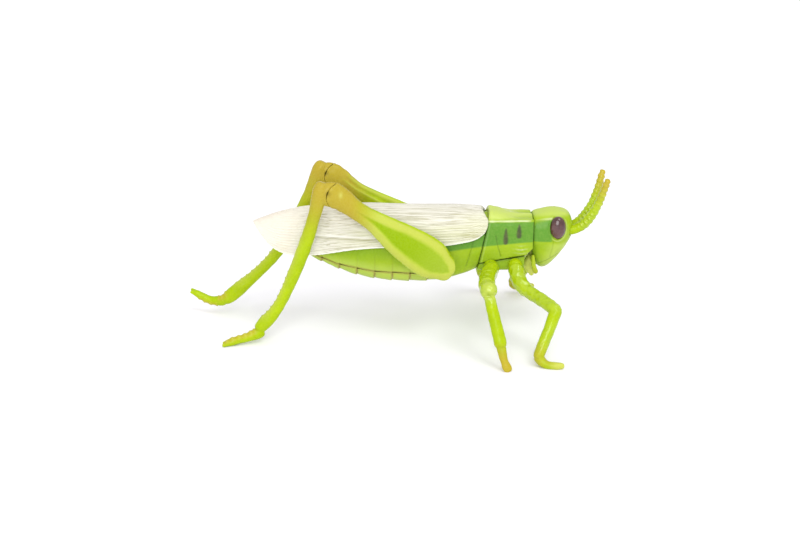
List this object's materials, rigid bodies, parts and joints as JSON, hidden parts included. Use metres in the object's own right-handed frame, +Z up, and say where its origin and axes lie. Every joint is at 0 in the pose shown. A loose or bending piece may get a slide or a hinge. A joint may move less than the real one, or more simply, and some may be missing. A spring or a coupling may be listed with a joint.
{
  "type": "grasshopper figure",
  "caption": "Jointed snap-together grasshopper figure of moulded green plastic, with clear wings, swivelling head, antennae and legs, and jumping legs with hinged knees.",
  "frame": {"origin": "on the floor, under the middle of the figure's overall box", "axes": "+X towards the head, +Y to the figure's left, +Z up; it stands on its feet at Z = 0"},
  "size_m": [0.1247, 0.0659, 0.0499],
  "materials": {
    "body_green": "satin moulded plastic, painted darker green along the side",
    "belly_green": "satin moulded plastic with brown painted seams",
    "mouth_green": "glossy moulded plastic",
    "limb_lime": "glossy soft plastic, ochre at the knees and feet",
    "limb_ochre": "glossy moulded plastic",
    "wing_film": "milky clear plastic with moulded veins",
    "eye_brown": "glossy dark brown"
  },
  "bodies": {
    "body": {"pronotum_shell": "body_green", "sternum_plate": "body_green", "abdomen_shell": "body_green", "belly_plate": "belly_green", "wing_left": "wing_film", "wing_right": "wing_film"},
    "head": {"head_shell": "body_green", "neck_plug": "body_green", "mouthparts": "mouth_green", "eye_left": "eye_brown", "eye_right": "eye_brown"},
    "antenna_left": {"antenna_left": "limb_lime"},
    "fore_leg_left": {"fore_leg_left": "limb_lime"},
    "mid_leg_left": {"mid_leg_left": "limb_lime"},
    "thigh_left": {"hind_femur_left": "limb_lime", "knee_pin_left": "limb_ochre"},
    "shin_left": {"hind_tibia_left": "limb_lime"},
    "antenna_right": {"antenna_right": "limb_lime"},
    "fore_leg_right": {"fore_leg_right": "limb_lime"},
    "mid_leg_right": {"mid_leg_right": "limb_lime"},
    "thigh_right": {"hind_femur_right": "limb_lime", "knee_pin_right": "limb_ochre"},
    "shin_right": {"hind_tibia_right": "limb_lime"}
  },
  "joints": [
    {"name": "neck_swivel", "type": "hinge", "parent": "body", "child": "head", "pos_m": [0.0404, 0, 0.0315], "axis": [1, 0, 0], "range_deg": [-15, 15]},
    {"name": "antenna_left_swivel", "type": "hinge", "parent": "head", "child": "antenna_left", "pos_m": [0.051, 0.00185, 0.0329], "axis": [1, 0, 0], "range_deg": [-45, 8]},
    {"name": "fore_leg_left_swivel", "type": "hinge", "parent": "body", "child": "fore_leg_left", "pos_m": [0.0352, 0.0067, 0.0235], "axis": [0, 1, 0], "range_deg": [-25, 12]},
    {"name": "mid_leg_left_swivel", "type": "hinge", "parent": "body", "child": "mid_leg_left", "pos_m": [0.028, 0.0067, 0.0229], "axis": [0, 1, 0], "range_deg": [-12, 25]},
    {"name": "hip_left", "type": "hinge", "parent": "body", "child": "thigh_left", "pos_m": [0.0119, 0.0088, 0.0246], "axis": [0, 1, 0], "range_deg": [-20, 55]},
    {"name": "knee_left", "type": "hinge", "parent": "thigh_left", "child": "shin_left", "pos_m": [-0.01703, 0.0111, 0.0449], "axis": [0, 1, 0], "range_deg": [-10, 30]},
    {"name": "antenna_right_swivel", "type": "hinge", "parent": "head", "child": "antenna_right", "pos_m": [0.051, -0.00185, 0.0329], "axis": [1, 0, 0], "range_deg": [-8, 45]},
    {"name": "fore_leg_right_swivel", "type": "hinge", "parent": "body", "child": "fore_leg_right", "pos_m": [0.0352, -0.0067, 0.0235], "axis": [0, 1, 0], "range_deg": [-25, 12]},
    {"name": "mid_leg_right_swivel", "type": "hinge", "parent": "body", "child": "mid_leg_right", "pos_m": [0.028, -0.0067, 0.0229], "axis": [0, 1, 0], "range_deg": [-12, 25]},
    {"name": "hip_right", "type": "hinge", "parent": "body", "child": "thigh_right", "pos_m": [0.0119, -0.0088, 0.0246], "axis": [0, 1, 0], "range_deg": [-20, 55]},
    {"name": "knee_right", "type": "hinge", "parent": "thigh_right", "child": "shin_right", "pos_m": [-0.0166, -0.0111, 0.0455], "axis": [0, 1, 0], "range_deg": [-10, 30]}
  ]
}
